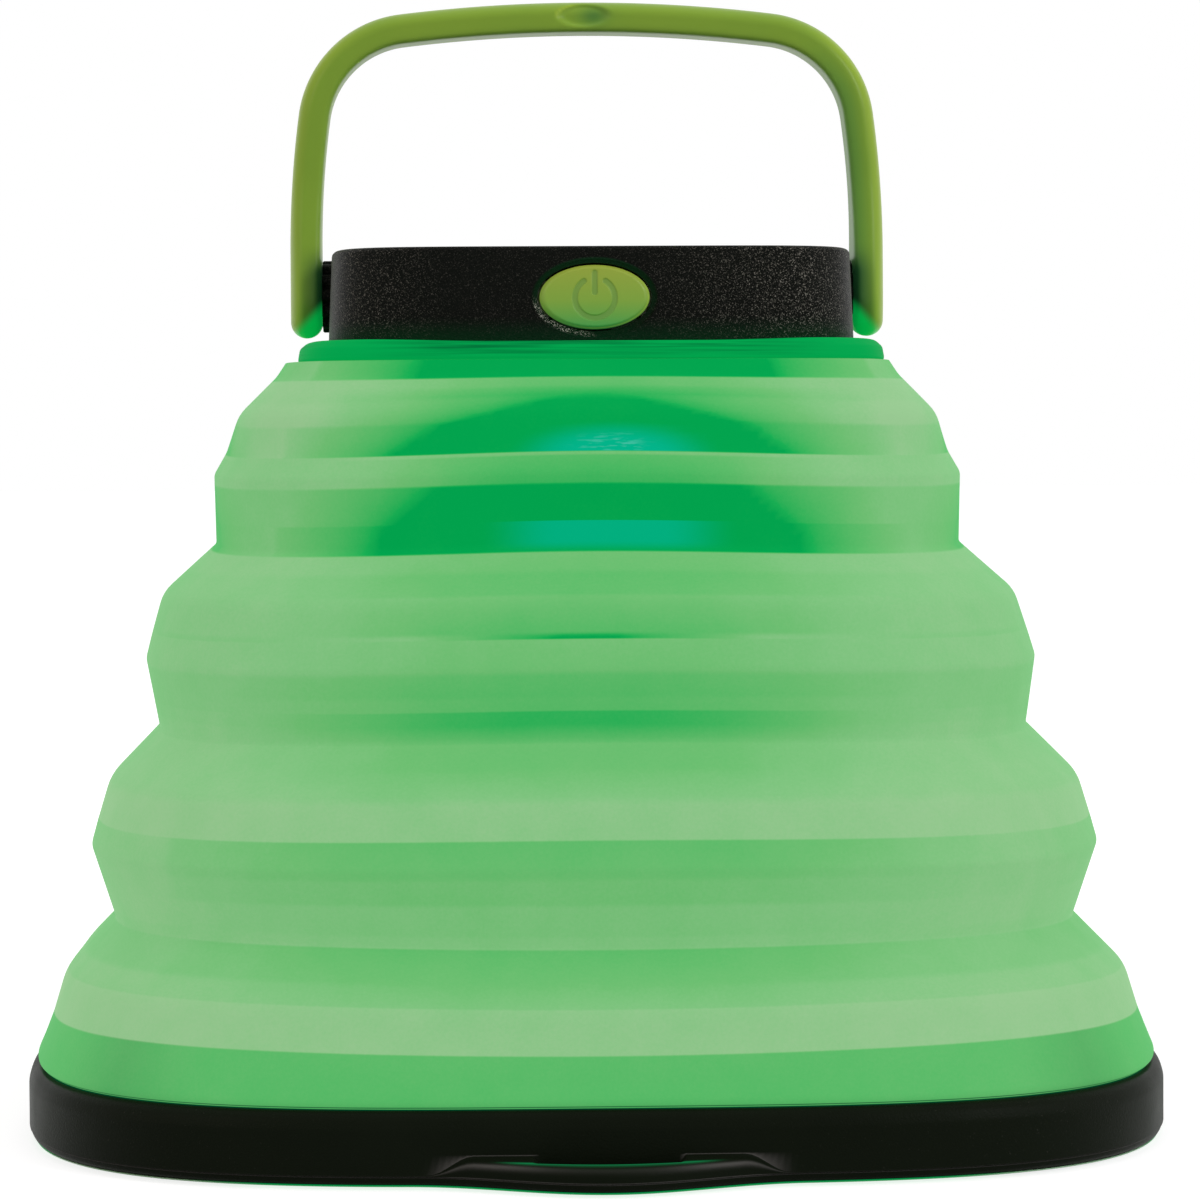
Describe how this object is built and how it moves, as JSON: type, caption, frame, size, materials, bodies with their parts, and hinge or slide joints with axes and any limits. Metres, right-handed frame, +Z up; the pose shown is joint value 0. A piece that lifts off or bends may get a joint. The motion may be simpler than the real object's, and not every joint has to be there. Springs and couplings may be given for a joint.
{
  "type": "camping lantern",
  "caption": "Collapsible camping lantern with a soft folding square shade, a solar head with an oval power button, a swinging carrying handle and a base with a finger lip.",
  "frame": {"origin": "centre of the base's outline on the flat underside that the lantern stands on", "axes": "+Z up through the head, -Y towards the power button and finger lip, X along the handle's pivot axis"},
  "size_m": [0.1138, 0.1188, 0.1136],
  "materials": {
    "base_black": "fine satin moulding grain",
    "cover_black": "fine satin moulding grain",
    "window_milky": "milky translucent",
    "clamp_black": "plain moulded",
    "screw_steel": "zinc plated",
    "shade_silicone": "translucent matte silicone, lit green from inside",
    "collar_silicone": "translucent satin silicone",
    "gasket_rubber": "matte",
    "head_black": "coarse leather-like moulding grain",
    "chassis_white": "white reflector finish",
    "panel_board_blue": "solder mask",
    "solar_cell": "silicon cell with fine printed fingers",
    "panel_resin": "clear cast resin",
    "wire_red": "insulation",
    "wire_black": "insulation",
    "board_green": "solder mask",
    "chip_black": "moulded package",
    "switch_body": "moulded body",
    "socket_steel": "tin plated shell",
    "battery_foil": "pouch foil",
    "pad_foam": "closed cell foam",
    "post_white": "white reflector finish",
    "led_board_white": "white solder mask",
    "led_phosphor": "emitter package",
    "lamp_milky": "milky diffuser",
    "button_lime": "satin translucent",
    "handle_lime": "satin moulded",
    "flap_rubber": "matte"
  },
  "bodies": {
    "base": {"base_ring": "base_black", "base_cover": "cover_black", "bottom_window": "window_milky", "shade_clamp": "clamp_black", "base_screws": "screw_steel", "shade": "shade_silicone"},
    "head": {"collar": "collar_silicone", "head_gasket": "gasket_rubber", "head_housing": "head_black", "chassis": "chassis_white", "head_screws": "screw_steel", "panel_board": "panel_board_blue", "solar_cells": "solar_cell", "panel_cover": "panel_resin", "solar_leads": "wire_red", "main_board": "board_green", "board_screws": "screw_steel", "control_chips": "chip_black", "push_switch": "switch_body", "charging_socket": "socket_steel", "battery": "battery_foil", "battery_pad": "pad_foam", "battery_leads": "wire_black", "lamp_post": "post_white", "led_boards": "led_board_white", "leds": "led_phosphor", "led_leads": "wire_red", "lamp_cover": "lamp_milky", "lamp_screws": "screw_steel"},
    "button": {"power_button": "button_lime", "switch_plunger": "chip_black"},
    "handle": {"handle": "handle_lime"},
    "flap": {"socket_flap": "flap_rubber"}
  },
  "joints": [
    {"name": "collapse", "type": "slide", "parent": "base", "child": "head", "axis": [0, 0, -1], "range_m": [0, 0.055], "deforming": ["shade"]},
    {"name": "handle_pivot", "type": "hinge", "parent": "head", "child": "handle", "pos_m": [0, 0, 0.08325], "axis": [1, 0, 0], "range_deg": [-90, 90]},
    {"name": "button_press", "type": "slide", "parent": "head", "child": "button", "axis": [0, 1, 0], "range_m": [0, 0.0005], "stiffness_N_per_m": 1500, "springref_m": -0.0003},
    {"name": "flap_hinge", "type": "hinge", "parent": "head", "child": "flap", "pos_m": [0, 0.0258, 0.07955], "axis": [-1, 0, 0], "range_deg": [0, 95]}
  ]
}
